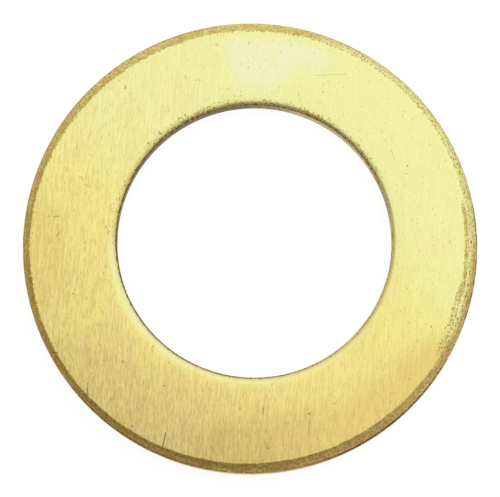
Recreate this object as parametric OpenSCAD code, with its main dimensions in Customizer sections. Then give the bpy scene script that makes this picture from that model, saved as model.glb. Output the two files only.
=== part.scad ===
// Flat washer: a thin brass ring stamped from sheet, with a chamfered upper rim and a rolled bore mouth.
// The origin is on the bore's axis, in the lower face. +Z runs along the bore, towards the chamfered face.

/* [Ring] */
// Outside diameter of the ring
outer_d = 20; // [18:0.1:30]
// Diameter of the bore
bore_d = 12.1; // [6:0.1:14]
// Thickness of the ring, from one flat face to the other
thickness = 1; // [0.6:0.05:2.5]

/* [Rim position] */
// Distance from the bore's axis to the rim's axis along X: the two punches never line up exactly
rim_shift_x = -0.19; // [-0.4:0.01:0.4]
// Distance from the bore's axis to the rim's axis along Y
rim_shift_y = -0.24; // [-0.4:0.01:0.4]

/* [Upper rim] */
// Width of the chamfer, inwards across the upper face
chamfer_w = 0.34; // [0.05:0.01:0.5]
// Depth of the chamfer, down the rim
chamfer_h = 0.3; // [0.05:0.01:0.45]

/* [Bore mouth] */
// Width of the rounded mouth, outwards across the upper face
roll_w = 0.34; // [0.2:0.01:0.6]
// Depth of the rounded mouth, down the bore
roll_h = 0.15; // [0.05:0.01:0.2]

/* [Lower edges] */
// Size of the 45-degree break at the foot of the rim and of the bore
edge_break = 0.06; // [0.02:0.01:0.1]

/* [Hidden] */
brass = [0.88, 0.81, 0.5];
outer_r = outer_d / 2;
bore_r = bore_d / 2;
// The mouth's arc is level with the upper face at its outer end, and meets the bore's wall roll_h lower
roll_r = (roll_w ^ 2 + roll_h ^ 2) / (2 * roll_h);
// How far a cut runs past the face that it opens
past = 0.5;
$fn = 180;

// Half section of the blank: a disc with the rim's chamfer and lower edge break
module blank_section() {
    polygon([
        [0, 0],
        [outer_r - edge_break, 0],
        [outer_r, edge_break],
        [outer_r, thickness - chamfer_h],
        [outer_r - chamfer_w, thickness],
        [0, thickness]
    ]);
}

// Half section of the open space: the bore, its rounded mouth and its lower edge break
module bore_section() {
    polygon([
        [0, -past],
        [bore_r + edge_break + past, -past],
        [bore_r, edge_break],
        [bore_r, thickness + past],
        [0, thickness + past]
    ]);
    difference() {
        translate([0, thickness - roll_r])
            square([bore_r + roll_w, roll_r + past]);
        translate([bore_r + roll_w, thickness - roll_r])
            circle(roll_r);
    }
}

module washer() {
    color(brass)
    difference() {
        translate([rim_shift_x, rim_shift_y, 0])
            rotate_extrude() blank_section();
        rotate_extrude() bore_section();
    }
}

washer();
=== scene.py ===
"""Looks of a stamped brass flat washer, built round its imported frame. Metres, +Z up."""

import math
from types import SimpleNamespace

import bpy
import numpy as np
from mathutils import Matrix, Vector


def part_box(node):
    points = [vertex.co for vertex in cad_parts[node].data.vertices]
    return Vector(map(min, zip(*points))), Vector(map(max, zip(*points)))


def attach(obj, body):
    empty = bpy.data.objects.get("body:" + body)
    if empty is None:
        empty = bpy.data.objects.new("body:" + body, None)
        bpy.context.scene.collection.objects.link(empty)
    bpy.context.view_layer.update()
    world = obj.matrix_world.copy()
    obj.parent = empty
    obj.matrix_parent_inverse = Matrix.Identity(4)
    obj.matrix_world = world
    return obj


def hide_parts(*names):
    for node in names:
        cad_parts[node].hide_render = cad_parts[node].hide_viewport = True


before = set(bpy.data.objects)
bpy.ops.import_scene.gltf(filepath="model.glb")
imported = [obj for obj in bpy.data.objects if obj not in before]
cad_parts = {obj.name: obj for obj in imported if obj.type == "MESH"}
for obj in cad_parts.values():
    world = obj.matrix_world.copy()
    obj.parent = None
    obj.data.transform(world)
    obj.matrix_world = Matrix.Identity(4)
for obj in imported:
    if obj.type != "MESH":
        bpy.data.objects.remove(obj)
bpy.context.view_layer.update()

MM = 0.001
TURN = 2 * math.pi
# Points in each row round the ring
AROUND = 1080
SEED = 20
# Columns of a row of points, after its x and y; the grime column also carries painted shade, and pale
# carries painted highlight and reflection
HEIGHT, EDGE, TORN, GRIME_AND_SHADE, PALE = range(2, 7)
# Sockets of a Mix node that mixes colours
MIX_A, MIX_B, MIX_RESULT = 6, 7, 2

# Stretches of the ring in degrees round from +X: centre, half-width, and fade beyond it
WORN_CHAMFER = (22, 42, 20)
ROUNDED_CHAMFER = (-19, 14, 14)
BARE_CHAMFER = (288, 32, 18)
GRITTY_RIM = (105, 90, 40)
BENT_FACE = (-5, 14, 9)
SCORED_LINE = (-1, 10, 5)
SCUFFED_FACE = (-21, 7, 6)
# Stretches of the face's painted reflection, a pale crown towards +Y
REFLECTION_CROWN = (82, 10, 12)
LONG_REFLECTION_CROWN = (90, 5, 12)
# Stretches of the rim's wall darkened with painted shade, darkest towards the lower right
DARKEST_WALL = (308, 14, 20)
UPPER_LEFT_WALL = (128, 24, 24)
LOWER_LEFT_WALL = (238, 12, 22)
RIGHT_WALL = (-5, 10, 20)
PEACH_WALL = (308, 20, 35)
FAINT_PEACH_WALL = (255, 35, 35)
# Stretch of the mouth that is frayed and darkened with painted shade
FRAYED_SHADED_MOUTH = (82, 50, 20)
NICKED_MOUTH = (165, 10, 12)
# Stretches of the mouth's roll with a painted highlight, where it catches the light
MOUTH_HIGHLIGHT = (242, 40, 75)
BRIGHTEST_MOUTH_HIGHLIGHT = (212, 12, 25)
# Stretches of the bore's wall that are less dark and darkest
LESS_DARK_BORE = (54, 14, 18)
DARKEST_BORE = (125, 22, 24)

# Where the rows of each surface lie, as shares of the way across it
INNER_FACE = (0.0, 0.012, 0.025, 0.04, 0.06, 0.085, 0.115, 0.15)
MIDDLE_FACE = tuple(np.arange(4, 20) / 20)
CHAMFER = (0.05, 0.2, 0.36, 0.52, 0.68, 0.80, 0.86, 0.95)
RIM_WALL = (0.0, 0.06, 0.2, 0.38, 0.56, 0.74, 0.9, 1.0)
RIM_FOOT = (0.3, 0.65, 1.0)
LOWER_FACE = tuple(np.linspace(0, 1, 8))
BORE_FOOT = (0.0, 0.35, 0.7)
BORE_WALL = (0.0, 0.12, 0.3, 0.42, 0.55, 0.75, 0.92)
BORE_MOUTH = (0.0, 0.06, 0.14, 0.24, 0.36, 0.5, 0.66, 0.83)
# Distances in mm of the face's outer rows from the chamfer's edge
OUTER_FACE = (0.60, 0.50, 0.42, 0.35, 0.30, 0.26, 0.22, 0.18, 0.14, 0.10, 0.06, 0.03, 0.0)

# Small distances in mm: how far the surfaces lie inside the CAD part, and the waves, dip and chips
FACE_BELOW = 0.006
SKIN = 0.001
RIM_SKIN = 0.003
WAVE = 0.001
DIP = 0.020
DIP_REACH = 0.22
CHIP_REACH = 0.04

# Patterns of the brass: width and length of a grain in mm, finer detail, turn and shift
GRAIN_LEAN = math.radians(-5)
PATTERNS = {
    "fine": (0.042, 0.28, 1.0, GRAIN_LEAN, 0.0),
    "streak": (0.048, 1.4, 1.0, GRAIN_LEAN, 3.0),
    "score": (0.06, 0.40, 0.0, GRAIN_LEAN, 13.0),
    "cloud": (2.2, 3.5, 2.0, 0.4, 9.0),
    "patch": (1.1, 1.7, 1.0, 0.2, 21.0),
    "speck": (0.10, 0.10, 1.0, 0.0, 5.0),
    "blotch": (0.30, 0.30, 2.0, 0.0, 7.0),
}
# A grain pattern's values are taken to end at the first, and to spread over the second
GRAIN_END, GRAIN_SPREAD = 0.695, 0.38

# Colours of the sheet's face; GREENISH, YELLOW and ORANGE run from the lit +Y side to the dim -Y side,
# partly as painted light
GREENISH = (0.86, 0.84, 0.365)
YELLOW = (0.875, 0.81, 0.245)
ORANGE = (0.925, 0.725, 0.25)
# Aged colour, laid on more towards the dim -X and -Y side, partly painted shade
AGED_AND_SHADED = (0.90, 0.70, 0.29)
TARNISHED = (0.80, 0.57, 0.17)
BRIGHT_LINE = (0.96, 0.83, 0.38)
DARK_LINE = (0.50, 0.38, 0.13)
# Colours of the painted highlight and the painted reflection
HIGHLIGHT_PALE = (0.84, 0.82, 0.34)
REFLECTION_CREAM = (0.82, 0.80, 0.44)
PALEST_REFLECTION_CREAM = (0.84, 0.83, 0.51)
LIGHT_SCRATCH = (0.94, 0.84, 0.40)
DARK_SCRATCH = (0.26, 0.19, 0.06)
# Colours of cut and torn metal
CUT_YELLOW = (0.82, 0.74, 0.26)
CUT_GOLD = (0.80, 0.62, 0.18)
# Tan of the cut metal towards the dim -X and -Y side, painted shade
CUT_TAN = (0.60, 0.41, 0.07)
CUT_OCHRE = (0.68, 0.48, 0.13)
TORN_PEACH = (0.71, 0.46, 0.23)
DARK_SPECK = (0.36, 0.25, 0.055)
LIGHT_SPECK = (0.92, 0.77, 0.36)
# Colours of the dirt in it, which also paint shade on the rim's wall and the mouth's far side
THIN_DIRT_AND_SHADE = (0.40, 0.28, 0.06)
THICK_DIRT_AND_SHADE = (0.17, 0.115, 0.038)
# The floor's own colour, and how bright the camera and the metal see it
PAPER_GREY = (0.17, 0.17, 0.17)
PAPER_WHITE = 0.91
WHITE = (1, 1, 1)

# The camera in mm and degrees: its distance and lean from the face's axis, its bearing, aim and lens
CAMERA_DISTANCE = 176.0
CAMERA_LEAN = 7.9
CAMERA_BEARING = -86.9
CAMERA_AIM = (0.003, -0.123, 0)
CAMERA_LENS = 288.3
CAMERA_SENSOR = 36.0


# ---- Sizes from the frame ----


def frame_sizes():
    """The ring's sizes and its rim's centre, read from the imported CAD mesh, in millimetres."""
    touch = 0.001
    points = np.array([v.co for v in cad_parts["washer"].data.vertices]) / MM
    low, high = (np.array(corner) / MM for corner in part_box("washer"))
    rim = (low + high) / 2
    from_bore = np.hypot(points[:, 0], points[:, 1])
    from_rim = np.hypot(points[:, 0] - rim[0], points[:, 1] - rim[1])
    height = points[:, 2]
    outer_r, bore_r, thick = from_rim.max(), from_bore.min(), high[2]
    on_top = height > thick - touch
    on_wall = from_rim > outer_r - touch
    in_bore = from_bore < bore_r + touch
    return SimpleNamespace(
        rim=rim[:2],
        outer_r=outer_r,
        bore_r=bore_r,
        thick=thick,
        chamfer_w=outer_r - from_rim[on_top].max(),
        chamfer_h=thick - height[on_wall].max(),
        roll_w=from_bore[on_top].min() - bore_r,
        roll_h=thick - height[in_bore].max(),
        edge=height[on_wall].min(),
    )


S = frame_sizes()
ANGLE = np.arange(AROUND) * TURN / AROUND
OUT = np.stack([np.cos(ANGLE), np.sin(ANGLE)], axis=1)


# ---- Irregularity of a stamped edge ----


def ragged(length, seed, rows=None):
    """Smooth random signal round the ring, of unit spread, no finer than a length in mm at the rim."""
    rng = np.random.default_rng(SEED + seed)
    noise = rng.normal(size=AROUND if rows is None else (rows, AROUND))
    cycles = np.fft.rfftfreq(AROUND, 1 / AROUND)
    keep = np.exp(-((cycles * length / (TURN * S.outer_r)) ** 2) * 8)
    signal = np.fft.irfft(np.fft.rfft(noise) * keep, AROUND)
    return signal / signal.std()


def window(stretch):
    """1 within a stretch of the ring, fading smoothly to 0 beyond it."""
    centre, half, soft = stretch
    away = np.abs((np.degrees(ANGLE) - centre + 180) % 360 - 180)
    share = np.clip((half + soft - away) / soft, 0, 1)
    return share * share * (3 - 2 * share)


def ramp(value, low, high):
    """0 at low and 1 at high, straight between and level beyond; low may be the larger."""
    return np.clip((value - low) / (high - low), 0, 1)


def row(centre, radius, height, edge=0.0, torn=0.0, grime_and_shade=0.0, pale=0.0):
    """One closed row of points, with what its metal is: x, y, z, edge, torn, grime with painted shade,
    pale with painted highlight.
    """
    radius = np.broadcast_to(radius, AROUND)
    flat = np.asarray(centre) + OUT * radius[:, None]
    rest = [np.broadcast_to(v, AROUND) for v in (height, edge, torn, grime_and_shade, pale)]
    return np.column_stack([flat, *rest])


# ---- The ring's section, from the bore's mouth over the rim and back through the bore ----


def chamfer_width():
    """Width of the rim's chamfer, slightly oval as the tool ran: widest near +Y and -Y."""
    lean = 0.03 * np.cos(ANGLE - math.radians(300))
    oval = 0.18 * np.cos(2 * (ANGLE - math.radians(113)))
    return S.chamfer_w * (1 + lean + oval)


def roll_width():
    """Width of the bore's rolled mouth: widest towards -X and -Y, as the punch ran off centre too."""
    return S.roll_w * (0.95 + 0.25 * np.cos(ANGLE - math.radians(225)))


def frayed_shaded_mouth():
    """1 where the bore's mouth is frayed and darkened with painted shade, round its +Y half, and less on
    a nick near -X.
    """
    return np.maximum(window(FRAYED_SHADED_MOUTH), 0.6 * window(NICKED_MOUTH))


def painted_mouth_highlight(from_bore):
    """Painted highlight beside the bore's mouth: how pale the rolled metal is painted where it catches
    the light, mostly towards -X and -Y.
    """
    around = 0.5 * window(MOUTH_HIGHLIGHT) + 0.35 * window(BRIGHTEST_MOUTH_HIGHLIGHT)
    return around * ramp(from_bore, 0.06, 0.12) * ramp(from_bore, 0.56, 0.16)


def settle(points):
    """Lays a row on the upper face: faint rolling waves, and a soft dip towards the bore."""
    x, y = points[:, 0], points[:, 1]
    wave = np.sin(0.9 * x + 0.4 * y) + np.sin(0.5 * x - 0.8 * y + 1.0)
    from_mouth = np.hypot(x, y) - S.bore_r - roll_width()
    dip = DIP * np.exp(-np.maximum(from_mouth, 0) / DIP_REACH)
    points[:, HEIGHT] = S.thick - FACE_BELOW - WAVE * wave - dip
    return points


def chipped_edge():
    """How far the chamfer's upper edge is chipped inwards, in mm."""
    chips = 0.010 * ragged(0.12, 1) + 0.008 * ragged(0.5, 2)
    return chips + 0.035 * np.clip(ragged(0.25, 3) - 1.9, 0, 1)


def face_rows():
    """Rows of the upper face, from the rolled mouth out to the chamfer's ragged upper edge."""
    edge_r = S.outer_r - chamfer_width()
    chips = chipped_edge()
    inner = row((0, 0), S.bore_r + roll_width(), 0.0)
    outer = row(S.rim, edge_r - OUTER_FACE[0], 0.0)
    rows = [inner * (1 - share) + outer * share for share in (*INNER_FACE, *MIDDLE_FACE)]
    for step in OUTER_FACE:
        rows.append(row(S.rim, edge_r - step - chips * math.exp(-step / CHIP_REACH), 0.0))
    score = ragged(0.6, 4)
    for points in rows:
        mark_face(settle(points), score)
    return rows


def mark_face(points, score):
    """Bends a row of the face down where it was struck, and says where it is scored, scuffed, or pale
    with painted highlight and reflection.
    """
    bent, scuff, line = window(BENT_FACE), window(SCUFFED_FACE), window(SCORED_LINE)
    from_edge = S.outer_r - np.hypot(*(points[:, :2] - S.rim).T)
    from_bore = np.hypot(points[:, 0], points[:, 1]) - S.bore_r
    points[:, HEIGHT] -= bent * 0.10 * np.clip(0.50 - from_edge, 0, 0.25)

    line_at = 0.45 + 0.07 * scuff + 0.012 * score
    line_half = 0.075 + 0.075 * scuff
    on_line = np.clip(1.6 - np.abs(from_edge - line_at) / line_half, 0, 1)
    at_mouth = frayed_shaded_mouth() * ramp(from_bore - roll_width(), 0.10, 0.0)
    at_chamfer = 0.6 * window(GRITTY_RIM) * ramp(from_edge - chamfer_width(), 0.10, 0.0)
    scored = np.maximum(line, 0.45 * scuff) * on_line
    struck = 0.20 * bent * ramp(from_edge, 0.50, 0.42)
    frayed = np.maximum(at_chamfer, 0.28 * at_mouth)
    points[:, EDGE] = np.maximum(np.maximum(struck, scored), frayed)
    points[:, TORN] = 0.4 * scuff * on_line

    on_score = on_line * np.maximum(0.36 * line, 0.18 * scuff)
    beside = 0.18 * np.maximum(bent, scuff) * ramp(from_edge, 0.60, 0.45)
    # Grime on the scores and beside the struck edge, and painted shade beside the mouth's far half
    points[:, GRIME_AND_SHADE] = np.maximum(np.maximum(on_score, beside), 0.17 * at_mouth)
    # Painted reflection in a pale crown towards +Y, and the painted highlight beside the mouth
    crown_end = 2.1 + 1.1 * window(LONG_REFLECTION_CROWN)
    crown = window(REFLECTION_CROWN) * ramp(from_edge, 0.30, 0.90)
    crown = crown * ramp(from_edge, crown_end + 0.9, crown_end - 0.9)
    points[:, PALE] = np.maximum(painted_mouth_highlight(from_bore), 0.95 * crown)


def chamfer_rows(upper, deep, grain, wall_shade, peach):
    """Rows of the chamfer, from the face's edge down to the rim's wall."""
    edge_r = np.hypot(*(upper[:, :2] - S.rim).T)
    worn, bare = window(WORN_CHAMFER), window(BARE_CHAMFER)
    grit, rounded = window(GRITTY_RIM), window(ROUNDED_CHAMFER)
    rows = []
    for k, share in enumerate(CHAMFER):
        lower = ramp(share, 0.28, 0.50)
        bulge = (0.04 + 0.15 * rounded) * math.sin(math.pi * share) * deep
        radius = edge_r + (S.outer_r - edge_r) * share
        height = upper[:, HEIGHT] - deep * share + bulge + 0.004 * grain[k]
        edge = np.maximum(1 - worn * (0.40 + 0.50 * ramp(share, 1.0, 0.1)), rounded * lower)
        grime_and_shade = 0.27 + 0.06 * grit + 0.04 * worn * share - 0.20 * bare * ramp(share, 0.05, 0.30)
        # Painted shade from the wall, on the chamfer's foot
        grime_and_shade = np.maximum(grime_and_shade, wall_shade * ramp(share, 0.80, 0.86))
        grime_and_shade = np.maximum(grime_and_shade, 0.36 * rounded * lower)
        torn = np.maximum(0.6 * peach * ramp(share, 0.15, 0.6), 0.65 * rounded * lower)
        rows.append(row(S.rim, radius - RIM_SKIN, height, edge, torn, grime_and_shade))
    return rows


def rim_rows(upper):
    """Rows of the chamfer, the rim's wall and its lower edge break."""
    deep = chamfer_width() * S.chamfer_h / S.chamfer_w
    grain = ragged(0.10, 5, rows=40)
    # Painted shade on the rim's wall, carried onto the chamfer's foot
    wall_shade = np.maximum(0.66 * window(DARKEST_WALL), 0.44 * window(UPPER_LEFT_WALL))
    wall_shade = np.maximum(wall_shade, 0.55 * np.maximum(window(LOWER_LEFT_WALL), window(RIGHT_WALL)))
    peach = np.maximum(window(PEACH_WALL), 0.6 * window(FAINT_PEACH_WALL))
    rows = chamfer_rows(upper, deep, grain, wall_shade, peach)
    foot = S.thick - deep
    edge = 1 - 0.3 * window(WORN_CHAMFER)
    for k, share in enumerate(RIM_WALL):
        torn = ramp(share, 0.2, 0.5)
        inwards = SKIN + torn * 0.006 * np.abs(grain[10 + k])
        height = foot + (S.edge - foot) * share
        grime_and_shade = np.maximum(0.24, wall_shade * (1 - 0.75 * ramp(share, 0.2, 0.9)))
        rows.append(row(S.rim, S.outer_r - inwards, height, edge, torn * (0.3 + 0.7 * peach), grime_and_shade))
    for share in RIM_FOOT:
        turn = share * math.pi / 2
        radius = S.outer_r - RIM_SKIN - S.edge * (1 - math.cos(turn))
        rows.append(row(S.rim, radius, S.edge * (1 - math.sin(turn)), 1.0, 0.8, 0.6))
    return rows


def bottom_rows():
    """Rows of the lower face, from the rim to the bore."""
    inset = 0.1
    outer = row(S.rim, S.outer_r - S.edge - inset, 0.0)
    inner = row((0, 0), S.bore_r + S.edge + inset, 0.0)
    return [outer * (1 - share) + inner * share for share in LOWER_FACE]


def bore_rows():
    """Rows of the bore, from its lower edge break up the wall and round the rolled mouth."""
    grain = ragged(0.12, 7, rows=40)
    # The bore's wall is darkened all round, most near 125 degrees and less near 54
    less_dark = window(LESS_DARK_BORE)
    bore_dark = 0.64 + 0.20 * window(DARKEST_BORE)
    crisp = 0.4 * S.edge
    rows = []
    for share in BORE_FOOT:
        turn = share * math.pi / 2
        radius = S.bore_r + crisp * (1 - math.sin(turn))
        rows.append(row((0, 0), radius, crisp * (1 - math.cos(turn)), 1.0, 0.6, 0.8))
    top = S.thick - S.roll_h
    for k, share in enumerate(BORE_WALL):
        torn = ramp(share, 0.5, 0.25)
        outwards = torn * 0.004 * np.abs(grain[k]) + SKIN
        height = crisp + (top - crisp) * share
        darkening = bore_dark - 0.30 * less_dark * ramp(share, 0.85, 0.70) * ramp(share, 0.08, 0.28)
        rows.append(row((0, 0), S.bore_r + outwards, height, 1.0, 0.4 + 0.2 * torn, darkening))
    return rows + mouth_rows(grain[20:])


def mouth_rows(grain):
    """Rows of the bore's rolled mouth, up to the face."""
    wide = roll_width()
    fall = 0.85 * S.roll_h
    frayed = frayed_shaded_mouth()
    corner = 0.54 + 0.24 * np.cos(ANGLE - math.radians(190))
    rows = []
    for k, share in enumerate(BORE_MOUTH):
        points = settle(row((0, 0), S.bore_r + wide * share, 0.0))
        points[:, HEIGHT] -= fall * (1 - share) ** 2.5 - 0.003 * grain[k] * (1 - share)
        sharp = np.clip(1.5 - share * wide / 0.07, 0, 1)
        points[:, EDGE] = np.maximum(0.9 * sharp, 0.30 * frayed)
        points[:, TORN] = 0.3 * frayed
        # Painted shade over the mouth's far half, and a dark line along its sharp edge
        points[:, GRIME_AND_SHADE] = np.maximum(sharp * corner, frayed * (0.17 + 0.43 * ramp(share, 0.60, 0.02)))
        # Painted highlight along the mouth's roll
        points[:, PALE] = painted_mouth_highlight(share * wide)
        rows.append(points)
    return rows


# ---- The mesh ----


def unrolled(rows, start, way):
    """Each row's distance from the middle of the texture map, with the walls flat beyond the face."""
    reach = [start]
    for before, after in zip(rows, rows[1:]):
        reach.append(reach[-1] + way * np.linalg.norm(after[:, :3] - before[:, :3], axis=1))
    return reach[1:]


def texture_map(mesh, face, rim, bottom, bore):
    """Lays the upper side and both walls out as one ring, with the lower face smaller in its middle."""
    out = unrolled([face[-1], *rim], S.outer_r - chamfer_width(), 1)
    back = unrolled([face[0], *bore[::-1]], S.bore_r + roll_width(), -1)[::-1]
    upper = [points[:, :2] for points in face]
    upper += [S.rim + OUT * reach[:, None] for reach in out]
    upper += [None] * len(bottom)
    upper += [OUT * reach[:, None] for reach in back]
    lower_scale, map_half = 0.45, 0.495
    lower = [points[:, :2] * lower_scale for points in (*face, *rim, *bottom, *bore)]
    size = max(reach.max() for reach in out) / map_half
    first_low = len(face) + len(rim) - 1
    corners = []
    for k in range(len(upper)):
        below = first_low <= k <= first_low + len(bottom)
        flat = lower if below else upper
        near, far = flat[k], flat[(k + 1) % len(upper)]
        quad = [near, far, np.roll(far, -1, axis=0), np.roll(near, -1, axis=0)]
        corners.append(np.stack(quad, axis=1))
    layer = mesh.uv_layers.new(name="OFBake")
    places = 0.5 + (np.concatenate(corners) - S.rim) / size
    layer.data.foreach_set("uv", places.ravel())


def ring_mesh(name):
    """The whole washer as one closed mesh of quads, with attributes that say what its metal is like."""
    face = face_rows()
    rim = rim_rows(face[-1])
    bottom = bottom_rows()
    bore = bore_rows()
    rows = face + rim + bottom + bore
    count = len(rows)
    data = np.concatenate(rows)
    here = np.arange(AROUND)
    after = (here + 1) % AROUND
    faces = []
    for k in range(count):
        a, b = k * AROUND, (k + 1) % count * AROUND
        faces.append(np.column_stack([a + here, b + here, b + after, a + after]))
    faces = np.concatenate(faces)
    mesh = bpy.data.meshes.new(name)
    mesh.from_pydata(data[:, :3] * MM, [], faces)
    mesh.polygons.foreach_set("use_smooth", np.ones(len(mesh.polygons), bool))
    for column, label in ((EDGE, "edge"), (TORN, "torn"), (GRIME_AND_SHADE, "grime_and_shade"), (PALE, "pale")):
        mesh.attributes.new(label, "FLOAT", "POINT").data.foreach_set("value", data[:, column])
    texture_map(mesh, face, rim, bottom, bore)
    mesh.update()
    return mesh


# ---- Materials ----


class Graph:
    """Short calls for building a material's nodes."""

    def __init__(self, name):
        self.material = bpy.data.materials.new(name)
        self.material.use_nodes = True
        self.tree = self.material.node_tree
        self.shader = self.tree.nodes["Principled BSDF"]
        self.place = self.node("ShaderNodeTexCoord").outputs["Object"]
        self.mm = self.vector("SCALE", self.place, scale=1 / MM)

    def node(self, kind, **settings):
        node = self.tree.nodes.new(kind)
        for key, value in settings.items():
            setattr(node, key, value)
        return node

    def feed(self, socket, value):
        """Links a socket to another node's output, or sets it to a plain value."""
        if isinstance(value, bpy.types.NodeSocket):
            self.tree.links.new(value, socket)
        else:
            socket.default_value = value

    def math(self, operation, a, b):
        node = self.node("ShaderNodeMath", operation=operation)
        self.feed(node.inputs[0], a)
        self.feed(node.inputs[1], b)
        return node.outputs[0]

    def times(self, a, b):
        return self.math("MULTIPLY", a, b)

    def total(self, first, *others):
        """The first value with the others added, each of them a pair of a value and its weight."""
        for value, weight in others:
            first = self.math("ADD", first, self.times(value, weight))
        return first

    def vector(self, operation, a, b=None, scale=None):
        node = self.node("ShaderNodeVectorMath", operation=operation)
        self.feed(node.inputs[0], a)
        if b is not None:
            self.feed(node.inputs[1], b)
        if scale is not None:
            self.feed(node.inputs["Scale"], scale)
        return node.outputs["Value" if operation in ("DOT_PRODUCT", "DISTANCE") else "Vector"]

    def span(self, value, low, high, start=0.0, stop=1.0):
        """value from low to high becomes start to stop, smoothly."""
        node = self.node("ShaderNodeMapRange", interpolation_type="SMOOTHSTEP")
        for socket, item in zip(node.inputs, (value, low, high, start, stop)):
            self.feed(socket, item)
        return node.outputs[0]

    def mix(self, share, a, b):
        """Colour a where share is 0 and colour b where it is 1."""
        node = self.node("ShaderNodeMix", data_type="RGBA")
        self.feed(node.inputs[0], share)
        for socket, colour in ((node.inputs[MIX_A], a), (node.inputs[MIX_B], b)):
            self.feed(socket, (*colour, 1) if isinstance(colour, tuple) else colour)
        return node.outputs[MIX_RESULT]

    def noise(self, wide, tall, detail, turn, shift):
        """Grain of a given width and length in mm, turned in the plane of the face."""
        node = self.node("ShaderNodeMapping", vector_type="TEXTURE")
        self.feed(node.inputs["Vector"], self.place)
        node.inputs["Location"].default_value = (shift * MM, shift * MM, 0)
        node.inputs["Rotation"].default_value = (0, 0, turn)
        node.inputs["Scale"].default_value = (wide * MM, tall * MM, min(wide, tall) * MM)
        texture = self.node("ShaderNodeTexNoise", noise_dimensions="3D")
        self.feed(texture.inputs["Vector"], node.outputs[0])
        texture.inputs["Scale"].default_value = 1.0
        texture.inputs["Detail"].default_value = detail
        return texture.outputs["Fac"]

    def mask(self, name):
        """What the mesh's rows say of the metal: its edge, torn, grime with painted shade, or pale with
        painted highlight.
        """
        return self.node("ShaderNodeAttribute", attribute_name=name).outputs["Fac"]

    def towards(self, degrees):
        """Distance in mm from the origin along a direction in the plane of the face."""
        turn = math.radians(degrees)
        return self.vector("DOT_PRODUCT", self.mm, (math.cos(turn), math.sin(turn), 0))

    def broken(self, mask, grain, soft):
        """A mask broken up into grains with soft edges: more of them are inside it as it rises."""
        low = self.math("SUBTRACT", GRAIN_END - soft / 2, self.times(mask, GRAIN_SPREAD))
        return self.span(grain, low, self.math("ADD", low, soft))

    def stroke(self, x, y, to_x, to_y, wide):
        """A scratch between two places on the upper face, or a pit where both are the same, in mm."""
        start = Vector((x, y, S.thick))
        along = Vector((to_x - x, to_y - y, 0))
        away = self.vector("SUBTRACT", self.mm, start)
        if along.length:
            share = self.vector("DOT_PRODUCT", away, along / along.length_squared)
            share = self.math("MINIMUM", self.math("MAXIMUM", share, 0.0), 1.0)
            off = self.vector("DISTANCE", away, self.vector("SCALE", along, scale=share))
        else:
            off = self.vector("DISTANCE", self.mm, start)
        return self.span(off, wide, wide * 0.3)

    def strokes(self, marks):
        """All of a list of strokes, each with its strength."""
        total = 0.0
        for *line, strength in marks:
            total = self.math("MAXIMUM", total, self.times(self.stroke(*line), strength))
        return total

    def pits(self, spacing, share, largest):
        """Small pits scattered over the face, one in a share of the cells."""
        node = self.node("ShaderNodeTexVoronoi", voronoi_dimensions="2D")
        node.inputs["Scale"].default_value = 1 / spacing
        self.feed(node.inputs["Vector"], self.mm)
        luck = self.node("ShaderNodeSeparateColor")
        self.feed(luck.inputs[0], node.outputs["Color"])
        chosen = self.math("SUBTRACT", luck.outputs[0], 1 - share)
        radius = self.times(chosen, largest / share / spacing)
        pit = self.span(node.outputs["Distance"], radius, self.times(radius, 0.4))
        return self.times(pit, self.math("GREATER_THAN", radius, 0.0))


# Marks on the upper face in mm: from x, y to x, y, half-width and strength. A pit ends where it starts.
DARK_MARKS = (
    (-7.29, -6.31, -7.31, -6.78, 0.035, 0.8),
    (-7.31, -6.78, -7.19, -6.84, 0.035, 0.5),
    (-3.87, -8.50, -4.01, -9.11, 0.045, 0.9),
    (0.57, -9.18, 0.57, -9.18, 0.07, 0.6),
    (0.51, -8.96, 0.51, -8.96, 0.04, 0.4),
    (2.39, -7.66, 2.39, -7.66, 0.055, 0.9),
    (3.50, -7.21, 3.50, -7.21, 0.05, 0.7),
    (-5.78, -5.36, -5.78, -5.36, 0.055, 0.8),
    (-6.60, -5.33, -6.60, -5.33, 0.05, 0.5),
    (-3.97, -6.43, -3.97, -6.43, 0.06, 0.6),
    (-4.01, -6.78, -4.01, -6.78, 0.045, 0.5),
    (-5.34, -8.20, -5.34, -8.20, 0.06, 0.6),
    (-4.48, -4.74, -4.38, -4.64, 0.05, 0.7),
    (6.75, 3.31, 6.75, 3.31, 0.055, 0.8),
    (7.70, 2.15, 7.70, 2.15, 0.05, 0.4),
    (7.75, -3.83, 7.75, -3.83, 0.05, 0.7),
    (-5.69, 6.89, -5.72, 6.78, 0.04, 0.7),
    (-6.52, 0.62, -6.52, 0.62, 0.06, 0.7),
    (-6.43, 0.41, -6.43, 0.41, 0.05, 0.4),
    (-5.69, 2.64, -5.69, 2.64, 0.05, 0.6),
    (-7.96, -2.37, -7.96, -2.37, 0.05, 0.7),
    (-8.31, 3.28, -8.18, 3.07, 0.03, 0.35),
    (-7.72, 2.87, -7.55, 2.71, 0.03, 0.45),
    (-7.46, 2.49, -7.19, 2.35, 0.03, 0.45),
    (-8.68, 0.20, -8.59, 0.39, 0.035, 0.6),
    (-9.07, 1.07, -9.07, 1.07, 0.05, 0.6),
    (-8.83, 1.05, -8.60, 1.08, 0.035, 0.5),
    (0.385, -7.36, 0.385, -7.70, 0.03, 0.7),
    (2.39, -7.91, 2.39, -8.59, 0.03, 0.5),
    (-0.06, -6.19, -0.06, -6.19, 0.05, 0.8),
    (0.76, -6.38, 0.80, -6.33, 0.05, 0.6),
    (2.65, 7.36, 4.06, 7.41, 0.025, 0.3),
    (6.05, 3.95, 6.20, 3.55, 0.025, 0.3),
)
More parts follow.
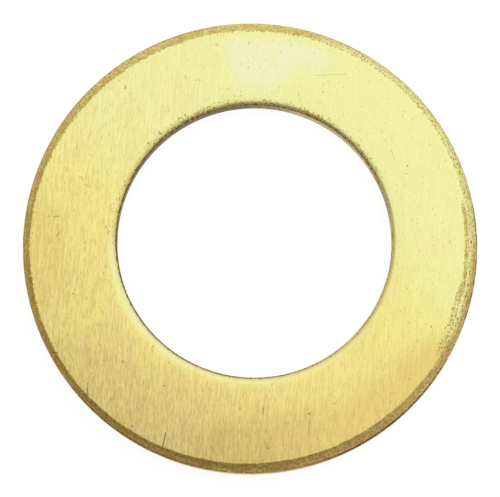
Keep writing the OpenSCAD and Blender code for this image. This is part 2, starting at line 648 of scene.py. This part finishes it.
LIGHT_MARKS = (
    (2.85, -8.68, 3.44, -9.21, 0.05, 0.6),
    (-8.32, -4.94, -8.16, -5.22, 0.035, 0.7),
    (-8.08, -5.22, -7.93, -5.54, 0.035, 0.7),
    (-7.86, -5.62, -7.75, -5.76, 0.03, 0.5),
    (-3.80, -8.55, -3.92, -9.05, 0.03, 0.6),
    (0.50, -9.24, 0.66, -9.24, 0.035, 0.6),
    (2.31, -7.60, 2.31, -7.60, 0.05, 0.6),
    (0.30, -8.90, 0.42, -9.30, 0.035, 0.4),
)
# Tarnished, warmer regions of the upper face, as the marks above.
WARM_PATCHES = (
    (-9.5, 0.6, -9.3, -1.6, 1.8, 0.52),
    (4.8, -8.2, 7.8, -5.6, 1.9, 0.70),
    (-1.5, -9.2, 4.8, -8.2, 1.7, 0.55),
    (-6.8, -4.7, -6.4, -5.4, 0.9, 0.20),
)


def tint_and_painted_light(g, grain, age_and_shade):
    """The sheet's colour with painted light: greenish and paler towards the lit +Y side, orange towards
    the dim -Y side, partly its own tint; tarnished in places.
    """
    lean = g.total(g.towards(65), (grain.cloud, 5.0))
    tint_and_light = g.mix(g.span(lean, 6.5, 0.0), GREENISH, YELLOW)
    tint_and_light = g.mix(g.span(lean, 3.0, -7.0), tint_and_light, ORANGE)
    tint_and_light = g.mix(g.times(g.span(grain.patch, 0.42, 0.62, 0.0, 0.6), age_and_shade), tint_and_light, AGED_AND_SHADED)
    return g.mix(g.strokes(WARM_PATCHES), tint_and_light, TARNISHED)


def brushed_face(g, grain, age_and_shade):
    """The sheet's colour with its brushed lines, which are strongest where it is most aged and towards
    the dim -X and -Y side, partly painted shade.
    """
    tint_and_light = tint_and_painted_light(g, grain, age_and_shade)
    lines = g.total(g.times(grain.fine, 0.55), (grain.streak, 0.45))
    depth = g.span(lines, 0.56, 0.36, 0.0, 0.54)
    tint_and_light = g.mix(g.times(g.span(lines, 0.50, 0.62, 0.0, 0.35), age_and_shade), tint_and_light, BRIGHT_LINE)
    score = g.span(grain.score, 0.60, 0.72, 0.0, 0.5)
    return g.mix(g.times(g.math("MAXIMUM", depth, score), age_and_shade), tint_and_light, DARK_LINE)


def painted_highlight_face(g, grain, face):
    """The face's colour with painted light: pale where the painted highlight and reflection lie, and
    cream where they are strongest, towards +Y.
    """
    pale = g.times(g.mask("pale"), g.span(grain.patch, 0.30, 0.50, 0.7, 1.0))
    cream = g.mix(g.span(g.towards(90), 0.0, 7.0), REFLECTION_CREAM, PALEST_REFLECTION_CREAM)
    face = g.mix(g.span(pale, 0.0, 0.55, 0.0, 0.9), face, HIGHLIGHT_PALE)
    return g.mix(g.span(pale, 0.15, 1.10), face, cream)


def dark_marks(g, edge):
    """How dark the scratches and pits are: those placed by hand, and small ones away from the edges."""
    plain = g.math("SUBTRACT", 1.0, edge)
    pits = g.times(g.pits(1.0, 0.25, 0.045), g.times(plain, 0.35))
    return g.math("MAXIMUM", g.strokes(DARK_MARKS), pits)


def cut_metal(g, grain, age_and_shade, torn):
    """Colour of metal that was cut or torn, with dark and light specks, turning tan towards the dim -X
    and -Y side as painted shade.
    """
    cut = g.mix(g.span(grain.blotch, 0.40, 0.62), CUT_YELLOW, CUT_GOLD)
    cut = g.mix(g.span(age_and_shade, 0.35, 1.0), cut, CUT_TAN)
    cut = g.mix(g.span(grain.blotch, 0.45, 0.62, 0.0, 0.25), cut, CUT_OCHRE)
    cut = g.mix(torn, cut, TORN_PEACH)
    cut = g.mix(g.span(grain.speck, 0.50, 0.62, 0.0, 0.55), cut, DARK_SPECK)
    return g.mix(g.span(grain.speck, 0.46, 0.36, 0.0, 0.50), cut, LIGHT_SPECK)


def roughness(g, grain, edge, torn, grime_and_shade):
    """Smoothest on the brushed face, rougher where it is cut, torn, dirty or darkened with painted
    shade.
    """
    brushed = g.span(grain.fine, 0.35, 0.65, 0.27, 0.33)
    g.feed(g.shader.inputs["Roughness"], g.total(brushed, (edge, 0.12), (torn, 0.10), (grime_and_shade, 0.12)))


def relief(g, grain, edge, dark):
    """Fine bumps of the brushed lines, the cut metal's specks and the dark marks."""
    specks = g.times(grain.speck, edge)
    bump = g.node("ShaderNodeBump")
    bump.inputs["Distance"].default_value = 0.004 * MM
    g.feed(bump.inputs["Height"], g.total(grain.fine, (grain.streak, 0.5), (specks, 3.0), (dark, -2.0)))
    g.feed(g.shader.inputs["Normal"], bump.outputs[0])


def brass_material():
    """Brushed brass sheet with browner, grainier metal where the edges were cut."""
    g = Graph("brushed_brass")
    grain = SimpleNamespace(**{name: g.noise(*pattern) for name, pattern in PATTERNS.items()})
    grains = g.total(g.times(grain.speck, 0.5), (grain.fine, 0.5))
    # Ageing that rises towards -X and -Y, the dim side: partly real age, partly painted shade
    age_and_shade = g.math("ADD", g.times(g.towards(230), 0.045), 0.5)
    edge = g.broken(g.mask("edge"), grains, 0.07)
    torn = g.mask("torn")
    soil_and_shade = g.mask("grime_and_shade")
    grime_and_shade = g.broken(soil_and_shade, g.math("SUBTRACT", 1.0, grains), 0.09)
    dark = dark_marks(g, edge)

    face = painted_highlight_face(g, grain, brushed_face(g, grain, age_and_shade))
    face = g.mix(g.times(g.strokes(LIGHT_MARKS), 0.65), face, LIGHT_SCRATCH)
    face = g.mix(dark, face, DARK_SCRATCH)
    colour = g.mix(edge, face, cut_metal(g, grain, age_and_shade, torn))
    # Dirt colour, which is also painted shade where the grime mask carries it
    darkening = g.mix(g.span(soil_and_shade, 0.32, 0.60), THIN_DIRT_AND_SHADE, THICK_DIRT_AND_SHADE)
    g.feed(g.shader.inputs["Base Color"], g.mix(grime_and_shade, colour, darkening))
    g.shader.inputs["Metallic"].default_value = 1.0
    roughness(g, grain, edge, torn, grime_and_shade)
    relief(g, grain, edge, dark)
    return g.material


def paper():
    """White floor: the camera and the metal see it mostly as plain white, with a little real shadow."""
    g = Graph("paper")
    g.shader.inputs["Base Color"].default_value = (*PAPER_GREY, 1)
    g.shader.inputs["Roughness"].default_value = 1.0
    g.shader.inputs["Specular IOR Level"].default_value = 0.0
    path = g.node("ShaderNodeLightPath")
    seen = g.math("MAXIMUM", path.outputs["Is Camera Ray"], path.outputs["Is Glossy Ray"])
    seen = g.math("MAXIMUM", seen, path.outputs["Is Transmission Ray"])
    g.shader.inputs["Emission Color"].default_value = (*WHITE, 1)
    g.feed(g.shader.inputs["Emission Strength"], g.times(seen, PAPER_WHITE))
    return g.material


# ---- Scene ----


def washer_piece():
    """The washer as it is seen, in place of its CAD node."""
    piece = bpy.data.objects.new("brass_ring", ring_mesh("brass_ring"))
    bpy.context.scene.collection.objects.link(piece)
    piece.data.materials.append(brass_material())
    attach(piece, "root")
    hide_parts("washer")


def floor():
    """A large square of paper, just clear of the washer's lower face."""
    half = 1500 * MM
    corners = [(-half, -half, 0), (half, -half, 0), (half, half, 0), (-half, half, 0)]
    mesh = bpy.data.meshes.new("floor")
    mesh.from_pydata(corners, [], [(0, 1, 2, 3)])
    sheet = bpy.data.objects.new("floor", mesh)
    bpy.context.scene.collection.objects.link(sheet)
    sheet.location.z = -0.01 * MM
    mesh.materials.append(paper())


def panel(name, place, turn, width, height, radiance, spread, colour):
    """A soft rectangular light facing down, turned about Z, which the camera doesn't see."""
    light = bpy.data.lights.new(name, "AREA")
    light.shape = "RECTANGLE"
    light.size, light.size_y = width * MM, height * MM
    light.energy = radiance * math.pi * light.size * light.size_y
    light.color = colour
    light.spread = math.radians(spread)
    lamp = bpy.data.objects.new(name, light)
    bpy.context.scene.collection.objects.link(lamp)
    lamp.location = Vector(place) * MM
    lamp.rotation_euler = (0, 0, math.radians(turn))
    lamp.visible_camera = False


def room(dim, bright, axis, low, high):
    """World light, from dim to bright along an axis in degrees; the camera sees it as plain white."""
    world = bpy.data.worlds.new("studio")
    world.use_nodes = True
    tree = world.node_tree
    place = tree.nodes.new("ShaderNodeTexCoord")
    dot = tree.nodes.new("ShaderNodeVectorMath")
    dot.operation = "DOT_PRODUCT"
    turn = math.radians(axis)
    dot.inputs[1].default_value = (math.cos(turn), math.sin(turn), 0)
    tree.links.new(place.outputs["Generated"], dot.inputs[0])
    share = tree.nodes.new("ShaderNodeMapRange")
    share.inputs["From Min"].default_value = low
    share.inputs["From Max"].default_value = high
    tree.links.new(dot.outputs["Value"], share.inputs["Value"])
    blend = tree.nodes.new("ShaderNodeMix")
    blend.data_type = "RGBA"
    blend.inputs[MIX_A].default_value = (*dim, 1)
    blend.inputs[MIX_B].default_value = (*bright, 1)
    tree.links.new(share.outputs[0], blend.inputs[0])
    seen = tree.nodes.new("ShaderNodeLightPath").outputs["Is Camera Ray"]
    shown = tree.nodes.new("ShaderNodeMix")
    shown.data_type = "RGBA"
    shown.inputs[MIX_B].default_value = (*WHITE, 1)
    tree.links.new(seen, shown.inputs[0])
    tree.links.new(blend.outputs[MIX_RESULT], shown.inputs[MIX_A])
    tree.links.new(shown.outputs[MIX_RESULT], tree.nodes["Background"].inputs["Color"])
    bpy.context.scene.world = world


def camera():
    """A long lens nearly square to the face, leaning 8 degrees towards -Y, with +Y up in the picture."""
    lean = math.radians(CAMERA_LEAN)
    bearing = math.radians(CAMERA_BEARING)
    top = Vector((S.rim[0], S.rim[1], S.thick))
    flat = math.sin(lean)
    back = Vector((flat * math.cos(bearing), flat * math.sin(bearing), math.cos(lean)))
    lens = bpy.data.cameras.new("camera")
    lens.lens = CAMERA_LENS
    lens.sensor_width = CAMERA_SENSOR
    lens.clip_start = 1 * MM
    lens.clip_end = 5000 * MM
    eye = bpy.data.objects.new("camera", lens)
    bpy.context.scene.collection.objects.link(eye)
    place = top + back * CAMERA_DISTANCE
    behind = (place - (top + Vector(CAMERA_AIM))).normalized()
    right = Vector((0, 1, 0)).cross(behind).normalized()
    axes = Matrix((right, behind.cross(right), behind)).transposed()
    eye.matrix_world = Matrix.Translation(place * MM) @ axes.to_4x4()
    bpy.context.scene.camera = eye


washer_piece()
floor()
room(dim=(0.20, 0.16, 0.13), bright=(1.0, 0.98, 0.97), axis=65, low=-1.0, high=1.0)
panel(
    "key",
    place=(9.3, 20.0, 25),
    turn=-25,
    width=110,
    height=58,
    radiance=0.20,
    spread=110,
    colour=(0.85, 0.93, 1.0),
)
camera()
bpy.context.scene.view_settings.view_transform = "Standard"
